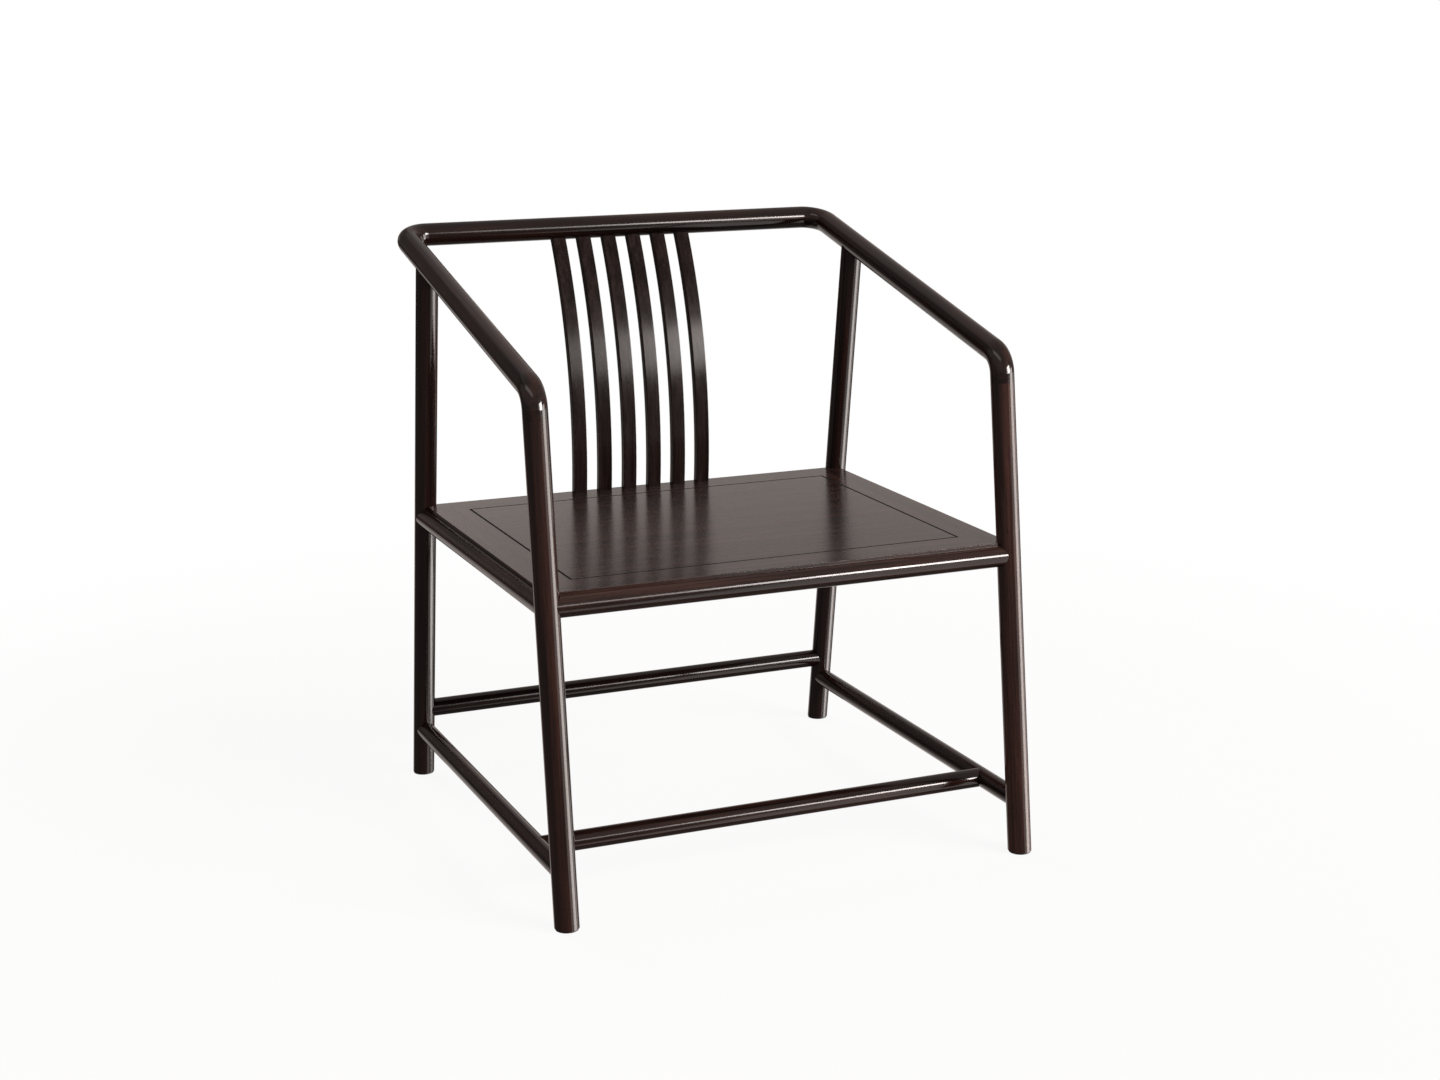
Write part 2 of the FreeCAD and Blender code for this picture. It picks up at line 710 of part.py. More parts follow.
def make_side_rail(name, side, tools):
    """A side rail, which takes the tenons of the front and rear rails."""
    middle = Vector(side * seat_half_width, seat_middle_y, size("seat_height"))
    half_length = size("seat_depth") / 2
    body = rail_blank(f"{name}_blank", middle, side * QUARTER_TURN, half_length)
    front_end = seat_middle_y - front_leg_at(side, nose_height).y
    rear_end = rear_leg_at(side, nose_height).y - seat_middle_y
    mitre_end(body, half_length, rear_end, side)
    mitre_end(body, half_length, front_end, -side)
    add_mitre_mortises(body, side * (seat_half_width - size("rail_width")), side)
    spaces = [tools["front", side], tools["rear", side]]
    spaces += [tools["dowel", side, end] for end in (-1, 1)]
    return cut(name, body, spaces)


def make_frame_dowel(name, side, end):
    start, inward = frame_dowel_ends(side, end)
    return round_bar(name, start, start + inward * size("frame_dowel_length"),
                     "Sizes.frame_dowel_diameter")


# Seat panel and its battens
PANEL_WIDTH = "Sizes.leg_spacing + 2 * Sizes.seat_outset - 2 * Sizes.rail_width"
PANEL_DEPTH = "Sizes.seat_depth - 2 * Sizes.rail_width"


def make_seat_panel():
    """A loose panel with a tongue all round, flush with the frame, slotted for its battens."""
    body = new_body("seat_panel", Placement(Vector(0, seat_middle_y, size("seat_height")),
                                            Rotation()))
    field = profile_sketch(body, "XY_Plane", Vector(0, 0, -size("panel_thickness")))
    rectangle(field, f"{PANEL_WIDTH} - 2 * Sizes.panel_gap",
              f"{PANEL_DEPTH} - 2 * Sizes.panel_gap")
    pad(body, field, "Sizes.panel_thickness")
    low = size("tongue_drop") + size("tongue_thickness")
    tongue = profile_sketch(body, "XY_Plane", Vector(0, 0, -low))
    rectangle(tongue, f"{PANEL_WIDTH} + 2 * Sizes.tongue_reach",
              f"{PANEL_DEPTH} + 2 * Sizes.tongue_reach")
    pad(body, tongue, "Sizes.tongue_thickness")
    doc.recompute()

    def on_top(edge):
        return abs(edge.CenterOfMass.z - size("seat_height")) < size("fit_clearance")

    solid = body.Tip
    bevel = body.newObject("PartDesign::Chamfer", "seat_panel_chamfer")
    bevel.Base = (solid, edges_where(body.Shape, on_top))
    bevel.setExpression("Size", "Sizes.groove_chamfer")
    for side in SIDES.values():
        underside = Vector(side * size("batten_spacing") / 2, -size("panel_thickness"), 0)
        slot = profile_sketch(body, "XZ_Plane", underside)
        polygon(slot, dovetail("Sizes.fit_clearance", "-Sizes.overrun"))
        pocket_through(body, slot)
    return body


def dovetail(gap, foot):
    """A dovetail that widens upwards from the panel's underside, and its straight foot."""
    neck = f"Sizes.dovetail_neck / 2 + {gap}"
    top = f"Sizes.dovetail_width / 2 + {gap}"
    height = f"Sizes.dovetail_depth + {gap}"
    return [(f"-({neck})", foot), (neck, foot), (neck, "0"), (top, height),
            (f"-({top})", height), (f"-({neck})", "0")]


def make_batten(name, side):
    """A dovetailed batten under the panel, tenoned into the front and rear rails."""
    body = new_body(name, Placement(Vector(side * size("batten_spacing") / 2, seat_middle_y,
                                           size("seat_height") - size("panel_thickness")),
                                    Rotation()))
    clear_length = f"{PANEL_DEPTH} - 2 * Sizes.panel_gap"
    block = profile_sketch(body, "XZ_Plane",
                           Vector(0, -size("panel_gap") - size("batten_depth") / 2, 0))
    rectangle(block, "Sizes.batten_width", "Sizes.batten_depth")
    pad(body, block, clear_length, both_ways=True)
    key = profile_sketch(body, "XZ_Plane")
    polygon(key, dovetail("0", "-(Sizes.panel_gap + Sizes.overrun)"))
    pad(body, key, clear_length, both_ways=True)
    middle = Vector(side * size("batten_spacing") / 2, seat_middle_y, batten_middle_height())
    tenon = sketch_at(body, middle, Vector(0, -1, 0))
    rectangle(tenon, "Sizes.batten_tenon_width", "Sizes.batten_tenon_thickness")
    pad(body, tenon, f"{PANEL_DEPTH} + 2 * Sizes.batten_tenon_length", both_ways=True)
    return body


# Back slats
def make_slat(name, x):
    """A flat bar bent to an arc, tenoned into the rear seat rail and housed in the crest rail."""
    body = new_body(name, Placement(slat_centre() + Vector(x, 0, 0), Rotation()))
    side_view = profile_sketch(body, "YZ_Plane")
    slat_outline(side_view)
    pad(body, side_view, "Sizes.slat_width", both_ways=True)
    doc.recompute()

    def along_the_slat(edge):
        return edge.Length > size("seat_height") / 2

    soften_edges(body, along_the_slat, "Sizes.slat_edge_round")
    tip = slat_foot() + Vector(x, 0, -size("slat_tenon_length"))
    foot = sketch_at(body, tip, Vector(0, 0, 1))
    rectangle(foot, "Sizes.slat_tenon_width", "Sizes.slat_tenon_thickness")
    pad(body, foot, "Sizes.slat_tenon_length + Sizes.slat_tenon_root")
    return body


def slat_outline(sketch):
    """Two arcs about the origin, from a level foot to a square end inside the crest rail."""
    drop = slat_centre().z - size("seat_height")
    arcs = []
    for formula in ("Sizes.slat_radius", "Sizes.slat_radius - Sizes.slat_thickness"):
        ring = Part.Circle(Vector(), Vector(0, 0, 1), amount(formula))
        start = math.pi - slat_tip_angle()
        end = math.pi + math.asin(drop / ring.Radius)
        arc = sketch.addGeometry(Part.ArcOfCircle(ring, start, end), False)
        sketch.addConstraint(Sketcher.Constraint("Coincident", arc, 3, -1, 1))
        bind(sketch, Sketcher.Constraint("Radius", arc, ring.Radius), formula)
        arcs.append(arc)
    for point in (1, 2):
        first = sketch.getPoint(arcs[0], point)
        second = sketch.getPoint(arcs[1], point)
        line = sketch.addGeometry(Part.LineSegment(first, second), False)
        sketch.addConstraint(Sketcher.Constraint("Coincident", line, 1, arcs[0], point))
        sketch.addConstraint(Sketcher.Constraint("Coincident", line, 2, arcs[1], point))
        for arc, end in ((arcs[0], first), (arcs[1], second)):
            sketch.addConstraint(Sketcher.Constraint("DistanceY", -1, 1, arc, point, end.y))


# Stretchers
def tenoned_bar(name, start, end, hosts, tenon_diameter):
    """A round stretcher between two hosts' axes, coped to both and tenoned into both."""
    direction = (end - start).normalize()
    bar = round_bar(f"{name}_bar", start, end, "Sizes.stretcher_diameter")
    bar = cut(f"{name}_coped", bar, hosts)
    tenon = round_bar(f"{name}_tenon", start + direction * size("tenon_stop"),
                      end - direction * size("tenon_stop"), tenon_diameter)
    return fuse(f"{name}_tenoned", bar, tenon)


def make_side_stretcher(name, side, tools):
    height = size("side_stretcher_height")
    bar = tenoned_bar(name, front_leg_at(side, height), rear_leg_at(side, height),
                      [tools["front", side], tools["rear", side]],
                      "Sizes.stretcher_tenon_diameter")
    mortise = mortise_tool(f"{name}_mortise", front_stretcher_end(side), Vector(-side, 0, 0),
                           "Sizes.cross_tenon_diameter")
    return cut(name, bar, [mortise])


def front_stretcher_end(side):
    return Vector(side * half_spacing, front_foot_y + size("front_stretcher_setback"),
                  size("side_stretcher_height"))


def make_front_stretcher(tools):
    """It is set back from the front legs and joins the two side stretchers."""
    return tenoned_bar("stretcher_front", front_stretcher_end(-1), front_stretcher_end(1),
                       [tools["stretcher", -1], tools["stretcher", 1]],
                       "Sizes.cross_tenon_diameter")


def make_rear_stretcher(tools):
    height = size("rear_stretcher_height")
    return tenoned_bar("stretcher_rear", rear_leg_at(-1, height), rear_leg_at(1, height),
                       [tools["rear", -1], tools["rear", 1]],
                       "Sizes.stretcher_tenon_diameter")


def make_chair():
    """Every piece of the chair, by the name of its node."""
    tools = make_envelopes()
    ground = make_ground()
    pieces = {"crest_rail": make_crest_rail()}
    for word, side in SIDES.items():
        pieces[f"armrest_{word}"] = make_armrest(f"armrest_{word}", side)
        pieces[f"crest_corner_dowel_{word}"] = make_corner_dowel(f"corner_dowel_{word}", side)
        pieces[f"front_leg_{word}"] = make_front_leg(f"front_leg_{word}", side, tools, ground)
        pieces[f"rear_leg_{word}"] = make_rear_leg(f"rear_leg_{word}", side, tools, ground)
        pieces[f"seat_rail_{word}"] = make_side_rail(f"seat_rail_{word}", side, tools)
        pieces[f"seat_batten_{word}"] = make_batten(f"seat_batten_{word}", side)
        pieces[f"stretcher_{word}"] = make_side_stretcher(f"stretcher_{word}", side, tools)
        pieces[f"foot_glide_front_{word}"] = make_glide(f"glide_front_{word}",
                                                        front_leg_at(side, 0))
        pieces[f"foot_glide_rear_{word}"] = make_glide(f"glide_rear_{word}",
                                                       rear_leg_at(side, 0))
        for end_word, end in (("front", -1), ("rear", 1)):
            name = f"frame_dowel_{end_word}_{word}"
            pieces[name] = make_frame_dowel(f"dowel_{end_word}_{word}", side, end)
    pieces["seat_rail_front"] = make_cross_rail("seat_rail_front", -1, tools)
    pieces["seat_rail_rear"] = make_cross_rail("seat_rail_rear", 1, tools)
    pieces["seat_panel"] = make_seat_panel()
    pieces["stretcher_front"] = make_front_stretcher(tools)
    pieces["stretcher_rear"] = make_rear_stretcher(tools)
    for number in range(int(size("slat_count"))):
        name = f"back_slat_{number + 1}"
        pieces[name] = make_slat(name, first_slat_x() + number * size("slat_pitch"))
    return pieces


def check_document():
    for item in doc.Objects:
        if "Invalid" in item.State or "Error" in item.State:
            raise RuntimeError(f"{item.Name} failed: {item.State}")
        if item.TypeId == "PartDesign::Pocket":
            if item.Shape.Volume >= item.BaseFeature.Shape.Volume:
                raise RuntimeError(f"{item.Name} cuts nothing")


def write_pieces(pieces):
    os.makedirs("parts", exist_ok=True)
    for name, piece in pieces.items():
        piece.Label = name
        shape = piece.Shape
        if shape.isNull() or not shape.isValid() or len(shape.Solids) != 1:
            raise RuntimeError(f"{name} is not one sound solid")
        shape.exportStep(f"parts/{name}.step")
        box = shape.BoundBox
        print(f"{name}: {shape.Volume:.0f} mm3, x {box.XMin:.1f} {box.XMax:.1f}, "
              f"y {box.YMin:.1f} {box.YMax:.1f}, z {box.ZMin:.1f} {box.ZMax:.1f}")


pieces = make_chair()
doc.recompute()
check_document()
write_pieces(pieces)
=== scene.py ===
"""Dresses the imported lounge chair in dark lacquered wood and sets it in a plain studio.

The chair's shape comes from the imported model.  All lengths are in metres.
"""

import math

import bpy
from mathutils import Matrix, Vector

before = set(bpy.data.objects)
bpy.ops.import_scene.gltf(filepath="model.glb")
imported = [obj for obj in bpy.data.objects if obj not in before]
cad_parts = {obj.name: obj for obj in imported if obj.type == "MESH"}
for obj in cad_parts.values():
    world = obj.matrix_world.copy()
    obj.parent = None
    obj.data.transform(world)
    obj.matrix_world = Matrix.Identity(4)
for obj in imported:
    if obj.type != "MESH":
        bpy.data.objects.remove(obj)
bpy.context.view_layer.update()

bl_info = {
    "name": "Lounge Chair Dresser",
    "version": (1, 0, 0),
    "blender": (4, 5, 0),
    "location": "View3D > Sidebar > Lounge Chair",
    "description": "Finishes a slatted lounge chair in dark lacquered wood and builds its studio",
    "category": "Object",
}

# The chair's own sizes, repeated from its solids
LEG_RAKE = math.radians(7.45)
ARM_FRONT = Vector((0.3, -0.2157, 0.6127))
ARM_REAR = Vector((0.3, 0.29568, 0.7328))
SEAT_MIDDLE_Y = -0.0083
SEAT_TOP = 0.387
PANEL_HALF_WIDTH = 0.254
PANEL_HALF_DEPTH = 0.192
SIDES = ("left", "right")
ENDS = ("front", "rear")
SLAT_COUNT = 6
UPRIGHT = Vector((0, 0, 1))
SIDEWAYS = Vector((1, 0, 0))
BACKWARD = Vector((0, 1, 0))

# Layers of the grain: the noise's scale along and across the grain, its detail and roughness
GRAIN_LAYERS = {
    "broad": ((2.2, 70, 70), 3, 0.55),
    "narrow": ((5, 260, 260), 2, 0.5),
    "fibres": ((22, 1100, 1100), 2, 0.6),
    "pores": ((75, 1700, 1700), 1, 0.5),
}
BROAD_SHARE = 0.62
# Levels of the noise between which each mask rises from 0 to 1
GRAIN_LEVELS = {"Streaks": (0.38, 0.66), "Fibres": (0.3, 0.7), "Pores": (0.6, 0.72)}
# How far apart the pieces are cut from the plank
PLANK_STEP = (0.37, 0.11, 0.07)
FIRST_SLAT_CUT = 20
FIRST_RAIL_CUT = 30
PANEL_CUT = 40
FIBRE_DARK = (0.72, 0.70, 0.70, 1)
FIBRE_LIGHT = (1.15, 1.12, 1.10, 1)
PORE_COLOUR = (0.004, 0.003, 0.0025, 1)
PORE_COVER = 0.6
FIBRE_ROUGHNESS = 0.04
PORE_ROUGHNESS = 0.08
FIBRE_HEIGHT = 0.15
PORE_HEIGHT = 0.25
BUMP_STRENGTH = 0.7
FULL_GLOSS = 0.5
RAIL_RELIEF = 1.8
PANEL_RELIEF = 2.8

# Painted shade along the groove between the seat's rails and its panel: where it starts to show
# and where it is full
GROOVE_SHADE_REACH = (0.0021, 0.0008)
GROOVE_SHADE_COLOUR = (0.002, 0.0015, 0.0015, 1)
GROOVE_SHADE_ROUGHNESS = 0.5
# Heights between which the seat's moulded edges give way to its flat top
SEAT_FLAT_LEVELS = (SEAT_TOP - 0.0009, SEAT_TOP - 0.0004)

# The oiled wood of the hidden pieces, and the nylon of the glides
RAW_DARKENING = 0.55
RAW_PORE_COVER = 0.5
RAW_PORE_COLOUR = (0.02, 0.012, 0.008, 1)
RAW_ROUGHNESS = 0.55
RAW_FIBRE_ROUGHNESS = 0.1
RAW_PLACE = (0.2, 0.1, 0.3)
GLIDE_DARK = (0.010, 0.010, 0.010, 1)
GLIDE_LIGHT = (0.030, 0.029, 0.028, 1)
GLIDE_ROUGHNESS = 0.4
GLIDE_SPECKLE_ROUGHNESS = 0.2
SPECKLE_SCALE = 900

FLOOR_SIZE = 40
FLOOR_HEIGHT = -0.0005
# How far from the chair's middle the shadow starts to fade and where it ends
SHADOW_REACH = (0.8, 1.8)
CAMERA_PLACE = Vector((-1.1142, -2.6069, 1.0715))
CAMERA_PITCH = math.radians(90 - 14.04)
CAMERA_TURN = math.radians(-23.52)
# Width of the camera's sensor, in millimetres
CAMERA_SENSOR = 36
CHAIR_MIDDLE = Vector((0, 0, 0.4))
LAMP_DISTANCE = 12.0
WARM_LIGHT = (1.0, 0.93, 0.89)
WARM_BACKDROP = (1.0, 0.89, 0.84)
FILL_FROM_BELOW = 0.3
HORIZON_LEVELS = (-0.15, 0.35)
BEHIND_THE_CHAIR = (0.35, 0.94, 0)

# Zones of the white surroundings, by how far their direction points behind the chair, right,
# to the rear or up: each limit has the level where the zone starts and the one where it is full
LEFT_REAR = (("rear", 0, 0.2), ("right", 0.22, 0.1))
ZONES = {
    "backdrop": (("behind", 0.55, 0.9), ("up", -0.1, 0.05), ("up", 0.36, 0.15)),
    "lighter": (("right", 0.42, 0.26), ("right", 0.1, 0.22)),
    "dimmed": (*LEFT_REAR, ("right", -0.78, -0.68), ("up", 0.66, 0.56)),
    "low": (*LEFT_REAR, ("right", -0.65, -0.2), ("up", -0.12, -0.26)),
}

# The soft lamps that light the wood and don't show in the lacquer: azimuth and elevation
LIGHTING_LAMPS = {"key_lamp": (-50, 25), "rear_lamp": (105, 12)}
LIGHTING_LAMP_WIDTH = 30

# Each panel that the lacquer mirrors: azimuth, elevation, width and height in degrees,
# and its brightness, where white is 1
PANELS = {
    "upright_panel_lamp": (-51.5, 15.5, 19, 14, 34.0),
    "upright_nose_lamp": (-59, 15.5, 9, 14, 28.0),
    "upright_edge_lamp": (-64, 15.5, 6, 12, 15.0),
    "upright_fringe_lamp": (-70, 15.5, 6, 10, 4.5),
    "low_panel_lamp": (-28, -10, 28, 42, 8.5),
    "left_panel_lamp": (-54, -22, 26, 50, 1.2),
    "right_panel_lamp": (-1, -18, 26, 36, 1.8),
    "rim_panel_lamp": (62, -30, 40, 30, 0.5),
    "high_panel_lamp": (-155, 50, 50, 14, 1.3),
}

# Flat pieces that would mirror the upright lamps as one white sheet when seen from behind,
# and the front rail, whose round nose gets a narrow lamp of its own for the same reason
FLAT_PIECES = ("seat_panel", "seat_rail_rear", "seat_rail_left", "seat_rail_right")
NOSE_PIECE = "seat_rail_front"

# Painted light and shade: each piece's wood made lighter (front legs, front rail) or darker
# (crest, rear legs, armrests, rear stretcher) for the light it gets
PIECE_PAINTED_LIGHT = {
    "crest_rail": 0.65, "rear_leg_left": 0.7, "rear_leg_right": 0.7, "armrest_left": 0.9,
    "armrest_right": 0.9, "front_leg_right": 2.2, "front_leg_left": 1.3, "seat_rail_front": 1.1,
    "stretcher_rear": 0.6,
}
# Painted light: the slats' wood made lighter, partly standing in for a dim sheen on their lower
# half
SLAT_PAINTED_LIGHT = 0.85


class ChairFinish(bpy.types.PropertyGroup):
    """Colours and scales of the lacquered wood."""

    dark: bpy.props.FloatVectorProperty(
        name="Dark wood", description="Colour of the dark growth rings under the lacquer",
        subtype="COLOR", size=3, min=0, max=1, default=(0.0115, 0.0060, 0.0052))
    warm: bpy.props.FloatVectorProperty(
        name="Warm wood", description="Colour of the reddish streaks between the dark rings",
        subtype="COLOR", size=3, min=0, max=1, default=(0.0430, 0.0170, 0.0130))
    panel: bpy.props.FloatVectorProperty(
        name="Seat wood",
        description="Colour of the lighter streaks in the seat's rails and panel",
        subtype="COLOR", size=3, min=0, max=1, default=(0.0470, 0.0215, 0.0170))
    # The slats' greyer colour is partly their own tone and partly painted sheen, standing in for a
    # dim neutral reflection on their lower half
    slat: bpy.props.FloatVectorProperty(
        name="Slat wood", description="Colour of the greyer streaks in the back slats",
        subtype="COLOR", size=3, min=0, max=1, default=(0.0340, 0.0215, 0.0200))
    raw: bpy.props.FloatVectorProperty(
        name="Raw wood", description="Colour of the oiled wood that the frame hides",
        subtype="COLOR", size=3, min=0, max=1, default=(0.0900, 0.0480, 0.0290))
    gloss_roughness: bpy.props.FloatProperty(
        name="Bar roughness", description="Roughness of the lacquer on the round bars",
        subtype="FACTOR", min=0, max=1, default=0.09)
    seat_roughness: bpy.props.FloatProperty(
        name="Seat roughness", description="Roughness of the lacquer on the seat's flat top",
        subtype="FACTOR", min=0, max=1, default=0.2)
    slat_roughness: bpy.props.FloatProperty(
        name="Slat roughness", description="Roughness of the lacquer on the back slats",
        subtype="FACTOR", min=0, max=1, default=0.14)
    slat_gloss: bpy.props.FloatProperty(
        name="Slat gloss",
        description="How strongly the slats' thin lacquer mirrors, where 0.5 is full lacquer",
        subtype="FACTOR", min=0, max=1, default=0.18)
    bar_relief: bpy.props.FloatProperty(
        name="Bar relief",
        description="How far the streaks stand out on bars and moulded edges, where 1 is full",
        min=0, max=5, default=0.25)
    pore_depth: bpy.props.FloatProperty(
        name="Pore depth", description="Depth of the open pores in the lacquer",
        subtype="DISTANCE", unit="LENGTH", min=0, max=0.001, default=0.00001)


class StudioLook(bpy.types.PropertyGroup):
    """The studio around the chair."""

    white: bpy.props.FloatVectorProperty(
        name="Background", description="Colour of the floor and of the background",
        subtype="COLOR", size=3, min=0, max=1, default=(1.0, 1.0, 1.0))
    fill: bpy.props.FloatProperty(
        name="Fill light", description="Strength of the even light from all around",
        min=0, max=2, default=0.35)
    shine_backdrop: bpy.props.FloatProperty(
        name="Shine of the backdrop",
        description="How bright the lacquer shows the background behind it",
        min=0, max=1, default=0.77)
    shine_above: bpy.props.FloatProperty(
        name="Shine from above",
        description="How bright the lacquer shows the background above it",
        min=0, max=1, default=0.36)
    shine_below: bpy.props.FloatProperty(
        name="Shine from below",
        description="How bright the lacquer shows the background below it",
        min=0, max=1, default=0.14)
    shine_left: bpy.props.FloatProperty(
        name="Shine from the left",
        description="How bright the lacquer shows the floor behind it on the left",
        min=0, max=1, default=0.65)
    backdrop_gain: bpy.props.FloatProperty(
        name="Lighter part", description="How much brighter the backdrop's left part shines",
        min=0, max=1, default=0.3)
    left_dimming: bpy.props.FloatProperty(
        name="Dimming on the left", description="Share of the shine that the left rear side loses",
        subtype="FACTOR", min=0, max=1, default=0.62)
    key: bpy.props.FloatProperty(
        name="Key light",
        description="Brightness of the soft light that colours the wood, where white is 1",
        min=0, default=10)
    rear: bpy.props.FloatProperty(
        name="Rear light",
        description="Brightness of the soft light behind the chair, where white is 1",
        min=0, default=6)
    panel: bpy.props.FloatProperty(
        name="Panels",
        description="Share of their brightness at which the lacquer mirrors the panels",
        min=0, default=1)
    shadow: bpy.props.FloatProperty(
        name="Floor shadow", description="How much of the chair's shadow the white floor shows",
        subtype="FACTOR", min=0, max=1, default=0.09)
    lens: bpy.props.FloatProperty(
        name="Focal length", description="Focal length of the camera, in millimetres",
        min=10, max=300, default=57.26)


def look_from(thing, place, target):
    """Puts a camera or lamp at a place and points it at a target."""
    thing.location = place
    thing.rotation_euler = (Vector(target) - Vector(place)).to_track_quat("-Z", "Y").to_euler()


def math_node(tree, operation, first, second):
    """A math node fed by sockets or plain numbers."""
    node = tree.nodes.new("ShaderNodeMath")
    node.operation = operation
    for socket, value in zip(node.inputs, (first, second)):
        if isinstance(value, bpy.types.NodeSocket):
            tree.links.new(value, socket)
        else:
            socket.default_value = value
    return node.outputs[0]


def product(tree, first, *others):
    """The product of sockets and plain numbers."""
    for other in others:
        first = math_node(tree, "MULTIPLY", first, other)
    return first


def blend_colours(tree, factor, first, second, mode="MIX"):
    """A colour mix node fed by sockets or plain colours."""
    node = tree.nodes.new("ShaderNodeMix")
    node.data_type = "RGBA"
    node.blend_type = mode
    for name, value in (("Factor_Float", factor), ("A_Color", first), ("B_Color", second)):
        socket = next(item for item in node.inputs if item.identifier == name)
        if isinstance(value, bpy.types.NodeSocket):
            tree.links.new(value, socket)
        else:
            socket.default_value = value
    return next(item for item in node.outputs if item.identifier == "Result_Color")


def stretched_noise(tree, vector, scale, detail, roughness):
    """Noise that is drawn out along the grain, which runs along local X."""
    place = tree.nodes.new("ShaderNodeMapping")
    place.vector_type = "POINT"
    place.inputs["Scale"].default_value = scale
    tree.links.new(vector, place.inputs["Vector"])
    noise = tree.nodes.new("ShaderNodeTexNoise")
    noise.inputs["Scale"].default_value = 1
    noise.inputs["Detail"].default_value = detail
    noise.inputs["Roughness"].default_value = roughness
    tree.links.new(place.outputs[0], noise.inputs["Vector"])
    return noise.outputs["Fac"]


def stepped(tree, value, low, high):
    """A smooth ramp from 0 to 1 between two levels of a value."""
    node = tree.nodes.new("ShaderNodeMapRange")
    node.interpolation_type = "SMOOTHSTEP"
    node.inputs["From Min"].default_value = low
    node.inputs["From Max"].default_value = high
    tree.links.new(value, node.inputs["Value"])
    return node.outputs["Result"]


def grain_group():
    """Shared wood grain: streaks, fibres and pores drawn out along local X."""
    group = bpy.data.node_groups.new("wood_grain", "ShaderNodeTree")
    group.interface.new_socket(name="Vector", in_out="INPUT", socket_type="NodeSocketVector")
    for name in GRAIN_LEVELS:
        group.interface.new_socket(name=name, in_out="OUTPUT", socket_type="NodeSocketFloat")
    start = group.nodes.new("NodeGroupInput")
    end = group.nodes.new("NodeGroupOutput")
    vector = start.outputs["Vector"]
    layers = {name: stretched_noise(group, vector, *layer) for name, layer in GRAIN_LAYERS.items()}
    streaks = math_node(group, "ADD", product(group, layers["broad"], BROAD_SHARE),
                        product(group, layers["narrow"], 1 - BROAD_SHARE))
    masks = {"Streaks": streaks, "Fibres": layers["fibres"], "Pores": layers["pores"]}
    for name, noise in masks.items():
        group.links.new(stepped(group, noise, *GRAIN_LEVELS[name]), end.inputs[name])


def new_material(name):
    """An empty material and its Principled shader."""
    material = bpy.data.materials.new(name)
    material.use_nodes = True
    return material, material.node_tree, material.node_tree.nodes["Principled BSDF"]


def turned_place(tree, place, direction, offset):
    """A place turned so that local X runs along the given direction."""
    turn = tree.nodes.new("ShaderNodeMapping")
    turn.vector_type = "TEXTURE"
    turn.inputs["Location"].default_value = offset
    turn.inputs["Rotation"].default_value = direction.to_track_quat("X", "Z").to_euler()
    tree.links.new(place, turn.inputs["Vector"])
    return turn.outputs[0]


def groove_shade_group():
    """Shared painted shade: a dark line along the groove between the seat's rails and its panel.
    """
    group = bpy.data.node_groups.new("painted_groove_shade", "ShaderNodeTree")
    group.interface.new_socket(name="Vector", in_out="INPUT", socket_type="NodeSocketVector")
    group.interface.new_socket(name="Seam", in_out="OUTPUT", socket_type="NodeSocketFloat")
    start = group.nodes.new("NodeGroupInput")
    end = group.nodes.new("NodeGroupOutput")
    parts = group.nodes.new("ShaderNodeSeparateXYZ")
    group.links.new(start.outputs["Vector"], parts.inputs[0])
    past_side = math_node(group, "ABSOLUTE", parts.outputs["X"], 0)
    past_side = math_node(group, "SUBTRACT", past_side, PANEL_HALF_WIDTH)
    past_end = math_node(group, "SUBTRACT", parts.outputs["Y"], SEAT_MIDDLE_Y)
    past_end = math_node(group, "ABSOLUTE", past_end, 0)
    past_end = math_node(group, "SUBTRACT", past_end, PANEL_HALF_DEPTH)
    away = math_node(group, "ABSOLUTE", math_node(group, "MAXIMUM", past_side, past_end), 0)
    group.links.new(stepped(group, away, *GROOVE_SHADE_REACH), end.inputs["Seam"])


def as_rgba(colour):
    """A colour property as the four numbers a socket takes."""
    return (*colour, 1.0)


def shaded(colour, shade):
    """A colour made lighter or darker, as the four numbers a socket takes."""
    return as_rgba([part * shade for part in colour])


def painted_light_of(name):
    """Painted light and shade: how much lighter or darker a piece's wood is made."""
    if name.startswith("back_slat"):
        return SLAT_PAINTED_LIGHT
    return PIECE_PAINTED_LIGHT.get(name, 1)


def flat_top(tree, place):
    """A mask that is 1 on the seat's flat top and 0 on its moulded edges."""
    parts = tree.nodes.new("ShaderNodeSeparateXYZ")
    tree.links.new(place, parts.inputs[0])
    return stepped(tree, parts.outputs["Z"], *SEAT_FLAT_LEVELS)


def grain_masks(tree, place, direction, offset):
    """The shared grain's streaks, fibres and pores along a direction."""
    grain = tree.nodes.new("ShaderNodeGroup")
    grain.node_tree = bpy.data.node_groups["wood_grain"]
    tree.links.new(turned_place(tree, place, direction, offset), grain.inputs["Vector"])
    return grain.outputs


def groove_shade_mask(tree, place):
    """The shared painted shade along the seat's groove."""
    groove_shade = tree.nodes.new("ShaderNodeGroup")
    groove_shade.node_tree = bpy.data.node_groups["painted_groove_shade"]
    tree.links.new(place, groove_shade.inputs["Vector"])
    return groove_shade.outputs["Seam"]


def grain_colour(tree, masks, dark, light):
    """The colour of the lacquered grain."""
    streaks, fibres, pores = masks
    colour = blend_colours(tree, streaks, dark, light)
    fibre_shade = blend_colours(tree, fibres, FIBRE_DARK, FIBRE_LIGHT)
    colour = blend_colours(tree, 1.0, colour, fibre_shade, "MULTIPLY")
    return blend_colours(tree, product(tree, pores, PORE_COVER), colour, PORE_COLOUR)


def grain_roughness(tree, masks, roughness):
    """The lacquer's roughness, which its fibres and pores raise a little."""
    fibres, pores = masks[1:]
    varied = math_node(tree, "ADD", product(tree, fibres, FIBRE_ROUGHNESS),
                       product(tree, pores, PORE_ROUGHNESS))
    return math_node(tree, "ADD", varied, roughness)


